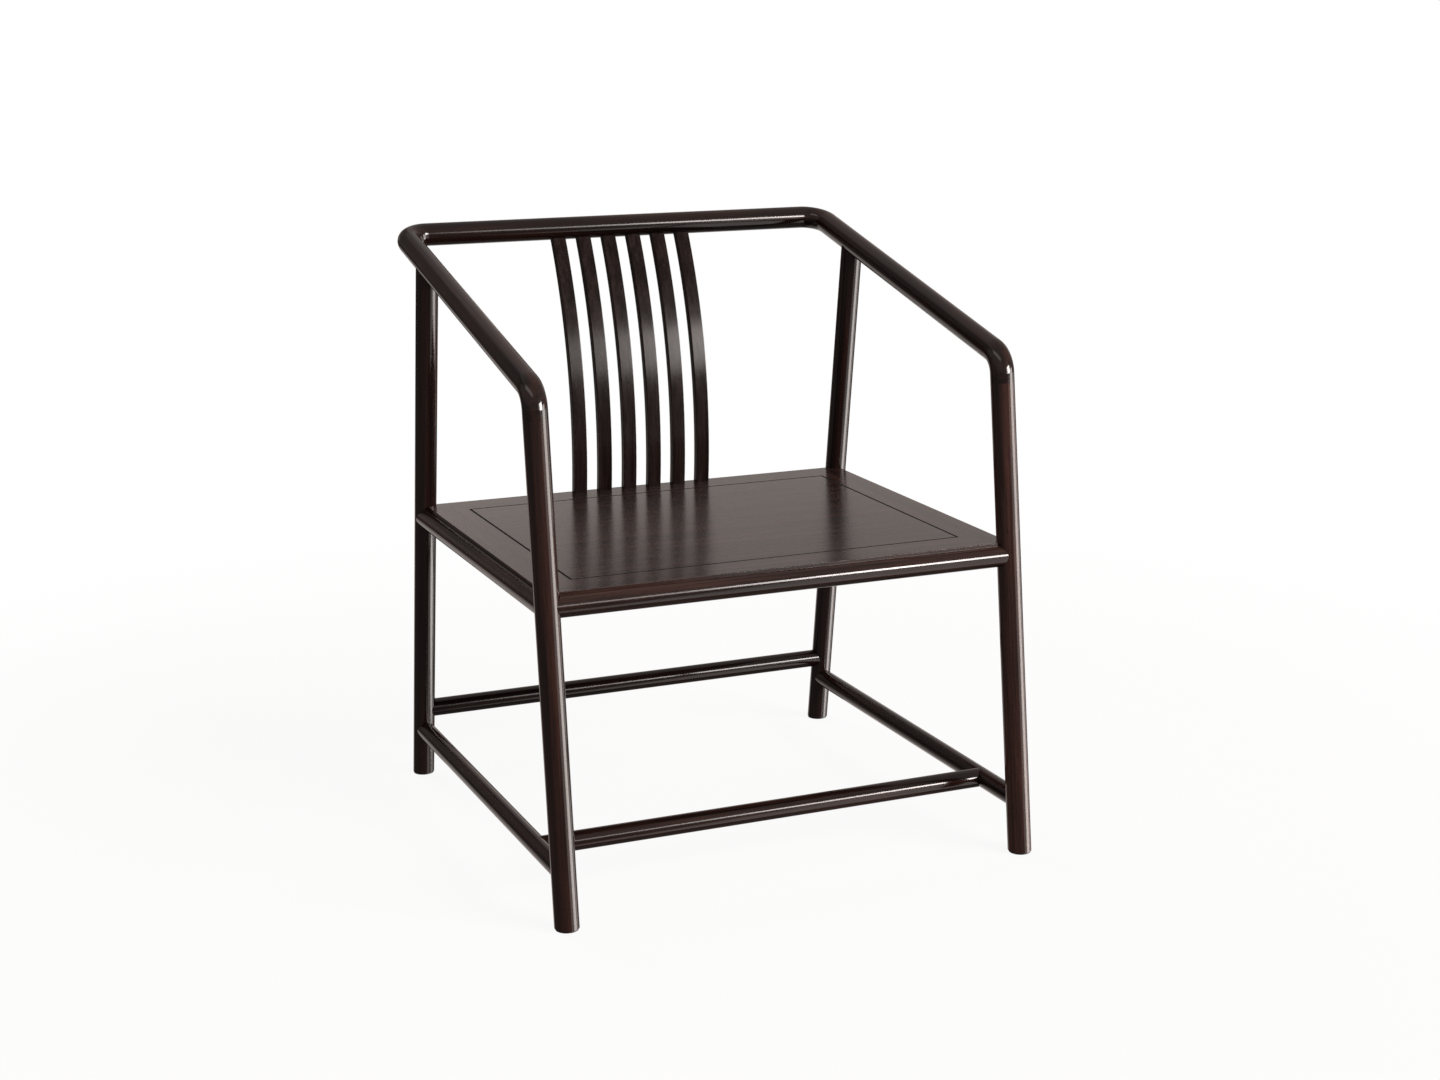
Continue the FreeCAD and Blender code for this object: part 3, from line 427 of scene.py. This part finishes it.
def add_grain_bump(tree, shader, masks, fine, relief):
    """Lets the streaks stand out and the pores lie deeper in the lacquer."""
    streaks, fibres, pores = masks
    height = math_node(tree, "SUBTRACT", product(tree, fibres, FIBRE_HEIGHT * fine),
                       product(tree, pores, PORE_HEIGHT * fine))
    height = math_node(tree, "ADD", height, product(tree, streaks, relief))
    bump = tree.nodes.new("ShaderNodeBump")
    bump.inputs["Distance"].default_value = bpy.context.scene.chair_finish.pore_depth
    bump.inputs["Strength"].default_value = BUMP_STRENGTH
    tree.links.new(height, bump.inputs["Height"])
    tree.links.new(bump.outputs[0], shader.inputs["Normal"])


def lacquered_wood(name, direction, number, light, roughness, relief=1.0, gloss=FULL_GLOSS):
    """Dark lacquered wood with its grain along a direction, cut from its own part of the plank."""
    finish = bpy.context.scene.chair_finish
    material, tree, shader = new_material(name)
    place = tree.nodes.new("ShaderNodeTexCoord").outputs["Object"]
    masks = grain_masks(tree, place, direction, [step * number for step in PLANK_STEP])
    # Painted light and shade: the piece's colours are made lighter or darker for the light it gets
    shade = painted_light_of(name)
    colour = grain_colour(tree, masks, shaded(finish.dark, shade), shaded(light, shade))
    rough = grain_roughness(tree, masks, roughness)
    fine = min(relief, 1)
    if name.startswith("seat"):
        top = flat_top(tree, place)
        rougher = product(tree, top, finish.seat_roughness - roughness)
        rough = math_node(tree, "ADD", rough, rougher)
        relief = math_node(tree, "ADD", product(tree, top, relief - finish.bar_relief),
                           finish.bar_relief)
        # Painted shade: the groove between the rails and the panel is darkened and made rougher
        groove_shade = groove_shade_mask(tree, place)
        colour = blend_colours(tree, groove_shade, colour, GROOVE_SHADE_COLOUR)
        rough = math_node(tree, "ADD", rough, product(tree, groove_shade, GROOVE_SHADE_ROUGHNESS))
    tree.links.new(colour, shader.inputs["Base Color"])
    tree.links.new(rough, shader.inputs["Roughness"])
    shader.inputs["Specular IOR Level"].default_value = gloss
    add_grain_bump(tree, shader, masks, fine, relief)
    return material


def raw_wood(name, direction):
    """Oiled wood of the battens and dowels, which the frame hides."""
    finish = bpy.context.scene.chair_finish
    material, tree, shader = new_material(name)
    place = tree.nodes.new("ShaderNodeTexCoord").outputs["Object"]
    streaks, fibres, pores = grain_masks(tree, place, direction, RAW_PLACE)
    colour = blend_colours(tree, streaks, shaded(finish.raw, RAW_DARKENING), as_rgba(finish.raw))
    colour = blend_colours(tree, product(tree, pores, RAW_PORE_COVER), colour, RAW_PORE_COLOUR)
    rough = math_node(tree, "ADD", product(tree, fibres, RAW_FIBRE_ROUGHNESS), RAW_ROUGHNESS)
    tree.links.new(colour, shader.inputs["Base Color"])
    tree.links.new(rough, shader.inputs["Roughness"])
    return material


def glide_nylon():
    """Plain black nylon of the foot glides."""
    material, tree, shader = new_material("glide_nylon")
    place = tree.nodes.new("ShaderNodeTexCoord")
    speckle = tree.nodes.new("ShaderNodeTexNoise")
    speckle.inputs["Scale"].default_value = SPECKLE_SCALE
    tree.links.new(place.outputs["Object"], speckle.inputs["Vector"])
    colour = blend_colours(tree, speckle.outputs["Fac"], GLIDE_DARK, GLIDE_LIGHT)
    rough = math_node(tree, "ADD", product(tree, speckle.outputs["Fac"], GLIDE_SPECKLE_ROUGHNESS),
                      GLIDE_ROUGHNESS)
    tree.links.new(colour, shader.inputs["Base Color"])
    tree.links.new(rough, shader.inputs["Roughness"])
    return material


def dress(node, material):
    """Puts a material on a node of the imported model."""
    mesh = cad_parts[node].data
    mesh.materials.clear()
    mesh.materials.append(material)


class CHAIR_OT_round_bars(bpy.types.Operator):
    """Finish the legs, armrests, crest rail and stretchers."""

    bl_idname = "chair.round_bars"
    bl_label = "Round Bars"

    def execute(self, context):
        finish = context.scene.chair_finish
        rake = math.tan(LEG_RAKE)
        front_line = Vector((0, rake, 1))
        rear_line = Vector((0, -rake, 1))
        slope = ARM_REAR - ARM_FRONT
        lines = {}
        for side in SIDES:
            lines[f"front_leg_{side}"] = front_line
            lines[f"rear_leg_{side}"] = rear_line
            lines[f"armrest_{side}"] = slope
            lines[f"stretcher_{side}"] = BACKWARD
        for node in ("crest_rail", "stretcher_front", "stretcher_rear"):
            lines[node] = SIDEWAYS
        for number, (node, line) in enumerate(lines.items()):
            dress(node, lacquered_wood(node, line, number, finish.warm, finish.gloss_roughness,
                                       finish.bar_relief))
        return {"FINISHED"}


class CHAIR_OT_back_slats(bpy.types.Operator):
    """Finish the six curved back slats."""

    bl_idname = "chair.back_slats"
    bl_label = "Back Slats"

    def execute(self, context):
        finish = context.scene.chair_finish
        for number in range(1, SLAT_COUNT + 1):
            node = f"back_slat_{number}"
            dress(node, lacquered_wood(node, UPRIGHT, FIRST_SLAT_CUT + number, finish.slat,
                                       finish.slat_roughness, gloss=finish.slat_gloss))
        return {"FINISHED"}


class CHAIR_OT_seat(bpy.types.Operator):
    """Finish the seat's mitred rails and its panel."""

    bl_idname = "chair.seat"
    bl_label = "Seat"

    def execute(self, context):
        finish = context.scene.chair_finish
        lines = {"seat_rail_front": SIDEWAYS, "seat_rail_rear": SIDEWAYS,
                 "seat_rail_left": BACKWARD, "seat_rail_right": BACKWARD}
        for number, (node, line) in enumerate(lines.items()):
            dress(node, lacquered_wood(node, line, FIRST_RAIL_CUT + number, finish.panel,
                                       finish.gloss_roughness, RAIL_RELIEF))
        dress("seat_panel", lacquered_wood("seat_panel", SIDEWAYS, PANEL_CUT, finish.panel,
                                           finish.seat_roughness, PANEL_RELIEF))
        return {"FINISHED"}


class CHAIR_OT_hidden_pieces(bpy.types.Operator):
    """Finish the battens, dowels and foot glides."""

    bl_idname = "chair.hidden_pieces"
    bl_label = "Hidden Pieces"

    def execute(self, context):
        batten = raw_wood("batten_wood", BACKWARD)
        dowel = raw_wood("dowel_wood", SIDEWAYS)
        glide = glide_nylon()
        for side in SIDES:
            dress(f"seat_batten_{side}", batten)
            dress(f"crest_corner_dowel_{side}", dowel)
            for end in ENDS:
                dress(f"frame_dowel_{end}_{side}", dowel)
                dress(f"foot_glide_{end}_{side}", glide)
        return {"FINISHED"}


class CHAIR_OT_studio(bpy.types.Operator):
    """Build the floor, the background, the lamps and the camera."""

    bl_idname = "chair.studio"
    bl_label = "Studio"

    def execute(self, context):
        look = context.scene.studio_look
        self.add_floor(look)
        context.scene.world = self.white_world(look)
        self.add_lamps(look)
        self.add_camera(look)
        context.scene.view_settings.view_transform = "Standard"
        return {"FINISHED"}

    def add_floor(self, look):
        """A white floor that neither lights the chair nor shows in the lacquer."""
        bpy.ops.object.select_all(action="DESELECT")
        bpy.ops.mesh.primitive_plane_add(size=FLOOR_SIZE, location=(0, 0, FLOOR_HEIGHT))
        floor = bpy.context.object
        floor.name = "studio_floor"
        floor.visible_glossy = False
        floor.visible_diffuse = False
        floor.data.materials.append(self.white_floor(look))

    def add_lamps(self, look):
        """The soft lamps that light the wood, and the panels that only the lacquer mirrors."""
        brightness = {"key_lamp": look.key, "rear_lamp": look.rear}
        for name, (azimuth, elevation) in LIGHTING_LAMPS.items():
            lamp = self.add_lamp(name, azimuth, elevation, LIGHTING_LAMP_WIDTH,
                                 LIGHTING_LAMP_WIDTH, brightness[name])
            lamp.visible_glossy = False
        for name, (azimuth, elevation, width, height, white) in PANELS.items():
            panel = self.add_lamp(name, azimuth, elevation, width, height, white * look.panel)
            panel.visible_diffuse = False
            if name.startswith("upright"):
                panel.light_linking.receiver_collection = self.lit_pieces(name)

    @staticmethod
    def add_camera(look):
        """The camera at the photo's place."""
        camera = bpy.data.objects.new("camera", bpy.data.cameras.new("camera"))
        bpy.context.scene.collection.objects.link(camera)
        camera.location = CAMERA_PLACE
        camera.rotation_euler = (CAMERA_PITCH, 0, CAMERA_TURN)
        camera.data.lens = look.lens
        camera.data.sensor_width = CAMERA_SENSOR
        bpy.context.scene.camera = camera

    @staticmethod
    def lit_pieces(lamp_name):
        """A collection, outside the scene, of the pieces that an upright lamp lights."""
        names = [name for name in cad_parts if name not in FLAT_PIECES]
        if lamp_name == "upright_nose_lamp":
            names = [NOSE_PIECE]
        elif lamp_name == "upright_panel_lamp":
            names.remove(NOSE_PIECE)
        lit = bpy.data.collections.new(f"lit_by_{lamp_name}")
        for name in names:
            lit.objects.link(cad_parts[name])
        return lit

    @staticmethod
    def add_lamp(name, azimuth, elevation, width, height, brightness):
        """A soft lamp that the camera doesn't see, turned to the middle of the chair."""
        lamp = bpy.data.objects.new(name, bpy.data.lights.new(name, "AREA"))
        bpy.context.scene.collection.objects.link(lamp)
        lamp.data.shape = "RECTANGLE"
        lamp.data.size = 2 * LAMP_DISTANCE * math.tan(math.radians(width / 2))
        lamp.data.size_y = 2 * LAMP_DISTANCE * math.tan(math.radians(height / 2))
        lamp.data.energy = brightness * math.pi * lamp.data.size * lamp.data.size_y
        lamp.data.color = WARM_LIGHT
        lamp.visible_camera = False
        around, up = math.radians(azimuth), math.radians(elevation)
        way = Vector((math.cos(around) * math.cos(up), math.sin(around) * math.cos(up),
                      math.sin(up)))
        look_from(lamp, CHAIR_MIDDLE + LAMP_DISTANCE * way, CHAIR_MIDDLE)
        return lamp

    @staticmethod
    def white_floor(look):
        """A white floor that keeps a part of the chair's shadow."""
        material, tree, shader = new_material("studio_white")
        tree.nodes.remove(shader)
        end = tree.nodes["Material Output"]
        rays = tree.nodes.new("ShaderNodeLightPath").outputs
        glow = tree.nodes.new("ShaderNodeEmission")
        glow.inputs["Color"].default_value = as_rgba(look.white)
        matt = tree.nodes.new("ShaderNodeBsdfDiffuse")
        matt.inputs["Color"].default_value = as_rgba(look.white)
        mix = tree.nodes.new("ShaderNodeMixShader")
        seen = math_node(tree, "MAXIMUM", rays["Is Camera Ray"], rays["Is Glossy Ray"])
        seen = math_node(tree, "MAXIMUM", seen, rays["Is Transmission Ray"])
        place = tree.nodes.new("ShaderNodeTexCoord")
        reach = tree.nodes.new("ShaderNodeVectorMath")
        reach.operation = "LENGTH"
        tree.links.new(place.outputs["Object"], reach.inputs[0])
        far = stepped(tree, reach.outputs["Value"], *SHADOW_REACH)
        kept = product(tree, math_node(tree, "SUBTRACT", 1, far), look.shadow)
        glowing = product(tree, seen, math_node(tree, "SUBTRACT", 1, kept))
        tree.links.new(glowing, mix.inputs["Fac"])
        tree.links.new(matt.outputs[0], mix.inputs[1])
        tree.links.new(glow.outputs[0], mix.inputs[2])
        tree.links.new(mix.outputs[0], end.inputs["Surface"])
        return material

    def white_world(self, look):
        """A world that is seen white, gives a weaker even light and shines in the lacquer."""
        world = bpy.data.worlds.new("studio_world")
        world.use_nodes = True
        tree = world.node_tree
        back = tree.nodes["Background"]
        rays = tree.nodes.new("ShaderNodeLightPath").outputs
        colour = blend_colours(tree, rays["Is Camera Ray"], as_rgba(WARM_BACKDROP),
                               as_rgba(look.white))
        tree.links.new(colour, back.inputs["Color"])
        sides = self.direction_parts(tree)
        height = stepped(tree, sides["up"], *HORIZON_LEVELS)
        shine = product(tree, self.world_shine(tree, sides, height, look), rays["Is Glossy Ray"])
        plain = math_node(tree, "MAXIMUM", rays["Is Camera Ray"], rays["Is Transmission Ray"])
        seen = math_node(tree, "MAXIMUM", plain, shine)
        spread = product(tree, height, 1 - FILL_FROM_BELOW)
        spread = math_node(tree, "ADD", spread, FILL_FROM_BELOW)
        spread = product(tree, spread, look.fill, rays["Is Diffuse Ray"])
        tree.links.new(math_node(tree, "MAXIMUM", seen, spread), back.inputs["Strength"])
        return world

    @staticmethod
    def direction_parts(tree):
        """How far a direction points right, to the rear, up and straight behind the chair."""
        place = tree.nodes.new("ShaderNodeTexCoord").outputs["Generated"]
        parts = tree.nodes.new("ShaderNodeSeparateXYZ")
        tree.links.new(place, parts.inputs[0])
        behind = tree.nodes.new("ShaderNodeVectorMath")
        behind.operation = "DOT_PRODUCT"
        behind.inputs[1].default_value = BEHIND_THE_CHAIR
        tree.links.new(place, behind.inputs[0])
        right, rear, up = parts.outputs
        return {"right": right, "rear": rear, "up": up, "behind": behind.outputs["Value"]}

    @staticmethod
    def world_shine(tree, sides, height, look):
        """How bright the lacquer shows the white surroundings in each direction."""
        zones = {}
        for name, limits in ZONES.items():
            zones[name] = product(tree, *(stepped(tree, sides[side], start, full)
                                          for side, start, full in limits))
        shine = product(tree, height, look.shine_above - look.shine_below)
        shine = math_node(tree, "ADD", shine, look.shine_below)
        lighter = math_node(tree, "ADD", product(tree, zones["lighter"], look.backdrop_gain), 1)
        backdrop = product(tree, zones["backdrop"], look.shine_backdrop, lighter)
        shine = math_node(tree, "MAXIMUM", shine, backdrop)
        dimmed = product(tree, zones["dimmed"], look.left_dimming)
        shine = product(tree, shine, math_node(tree, "SUBTRACT", 1, dimmed))
        low_glow = product(tree, zones["low"], look.shine_left)
        return math_node(tree, "MAXIMUM", shine, low_glow)


class CHAIR_PT_panel(bpy.types.Panel):
    """Lists the steps that dress the chair."""

    bl_idname = "CHAIR_PT_panel"
    bl_label = "Lounge Chair"
    bl_space_type = "VIEW_3D"
    bl_region_type = "UI"
    bl_category = "Lounge Chair"

    def draw(self, context):
        for step in STEPS:
            self.layout.operator(step.bl_idname)
        for group in (context.scene.chair_finish, context.scene.studio_look):
            for name in group.__annotations__:
                self.layout.prop(group, name)


STEPS = (CHAIR_OT_round_bars, CHAIR_OT_back_slats, CHAIR_OT_seat, CHAIR_OT_hidden_pieces,
         CHAIR_OT_studio)
GROUPS = (ChairFinish, StudioLook)


def register():
    for item in (*GROUPS, *STEPS, CHAIR_PT_panel):
        bpy.utils.register_class(item)
    bpy.types.Scene.chair_finish = bpy.props.PointerProperty(type=ChairFinish)
    bpy.types.Scene.studio_look = bpy.props.PointerProperty(type=StudioLook)


def unregister():
    del bpy.types.Scene.studio_look
    del bpy.types.Scene.chair_finish
    for item in reversed((*GROUPS, *STEPS, CHAIR_PT_panel)):
        bpy.utils.unregister_class(item)


def main():
    """Dresses the chair and builds the studio."""
    register()
    grain_group()
    groove_shade_group()
    bpy.ops.chair.round_bars()
    bpy.ops.chair.back_slats()
    bpy.ops.chair.seat()
    bpy.ops.chair.hidden_pieces()
    bpy.ops.chair.studio()


if __name__ == "__main__":
    main()
